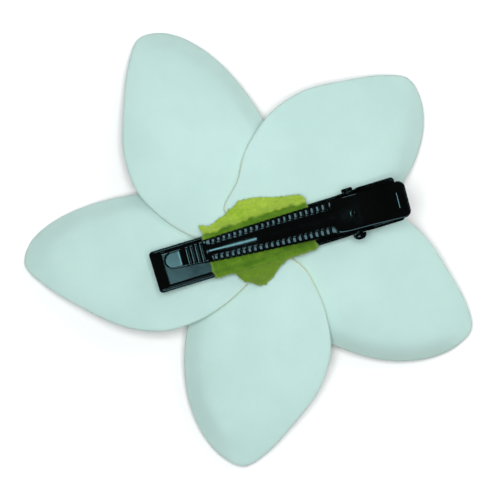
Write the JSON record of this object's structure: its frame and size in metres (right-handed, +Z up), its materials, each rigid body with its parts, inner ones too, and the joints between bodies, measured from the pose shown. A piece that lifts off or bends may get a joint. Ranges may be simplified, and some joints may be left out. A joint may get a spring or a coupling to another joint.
{
  "type": "flower hair clip",
  "caption": "Foam plumeria flower with five overlapping petals on a sprung metal alligator clip, with a green fabric cover glued over the clip's base.",
  "frame": {"origin": "centre of the bounding box's underside, on the surface that the petal tips stand on when the flower lies face down", "axes": "+X along the clip's base from its nose to its thumb plate, +Y across the clip towards the top petal, +Z up, away from the flower's front"},
  "size_m": [0.0754, 0.0778, 0.0244],
  "materials": {
    "petal_foam": "moulded EVA foam, white with a pale aqua cast, soft satin skin with fine pores",
    "black_enamel": "gloss black enamel on stamped sheet steel",
    "spring_steel": "drawn spring wire, lightly oiled",
    "green_fabric": "lime green needle felt, hand cut, with loose fibres along its edges",
    "glue": "set hot-melt glue, milky and slightly glossy"
  },
  "bodies": {
    "flower": {"petal_upper_right": "petal_foam", "petal_top": "petal_foam", "petal_left": "petal_foam", "petal_bottom": "petal_foam", "petal_lower_right": "petal_foam", "flower_core": "glue", "glue_bed": "glue", "clip_base": "black_enamel", "hinge_pin": "black_enamel", "torsion_spring": "spring_steel", "green_cover": "green_fabric"},
    "lever": {"clip_lever": "black_enamel"}
  },
  "joints": [
    {"name": "clip_open", "type": "hinge", "parent": "flower", "child": "lever", "pos_m": [0.02033, -0.00217, 0.01938], "axis": [0, 1, 0], "range_deg": [0, 30], "stiffness_Nm_per_rad": 0.06, "springref_deg": -34.38, "deforming": ["torsion_spring"]}
  ]
}
